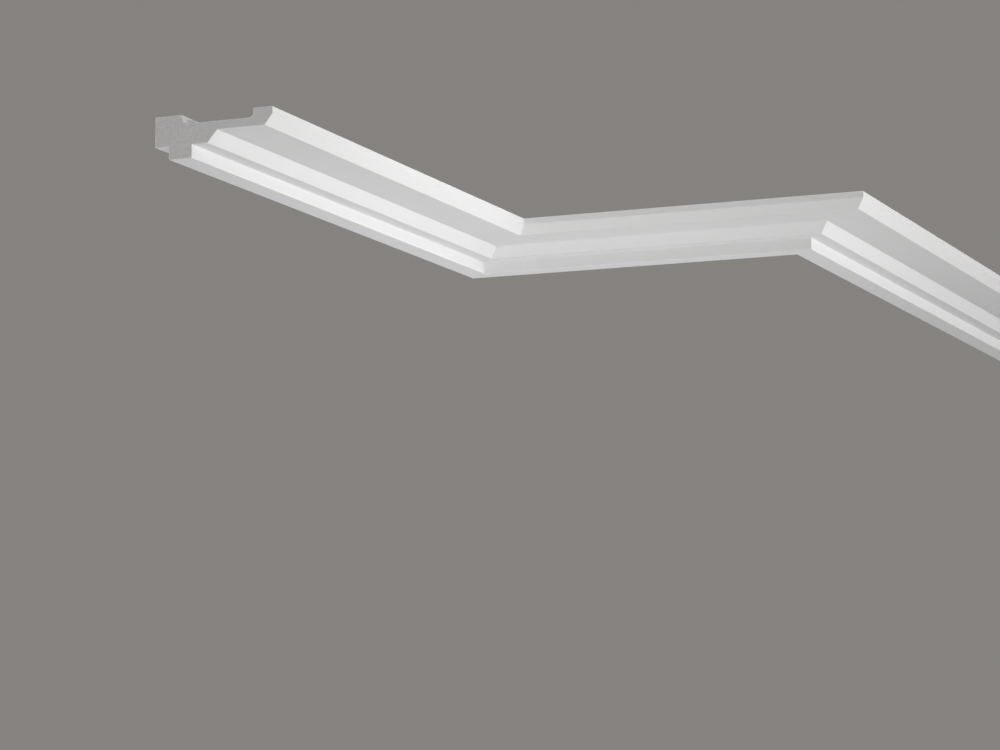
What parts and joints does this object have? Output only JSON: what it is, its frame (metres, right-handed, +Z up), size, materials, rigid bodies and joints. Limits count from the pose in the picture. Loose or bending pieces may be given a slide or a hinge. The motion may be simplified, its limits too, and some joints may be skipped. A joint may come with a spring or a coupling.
{
  "type": "mitred cornice moulding",
  "caption": "Stepped ceiling cornice moulding in mitred lengths, turning an inner and an outer wall corner, square cut at both ends.",
  "frame": {"origin": "on the ceiling plane, at the centre of the middle length's pad by the wall", "axes": "+Z up through the ceiling; +X along the middle length, from the inner corner to the outer corner; +Y into the wall behind the middle length, along the side lengths"},
  "size_m": [0.494, 1.6, 0.0407],
  "materials": {
    "left_primer": "white primed rigid polymer, fine matt surface",
    "middle_primer": "white primed rigid polymer, fine matt surface",
    "right_primer": "white primed rigid polymer, fine matt surface",
    "cut_core": "sawn end, unprimed fine cellular core"
  },
  "bodies": {
    "root": {"left_length": "left_primer", "middle_length": "middle_primer", "right_length": "right_primer"}
  },
  "joints": []
}
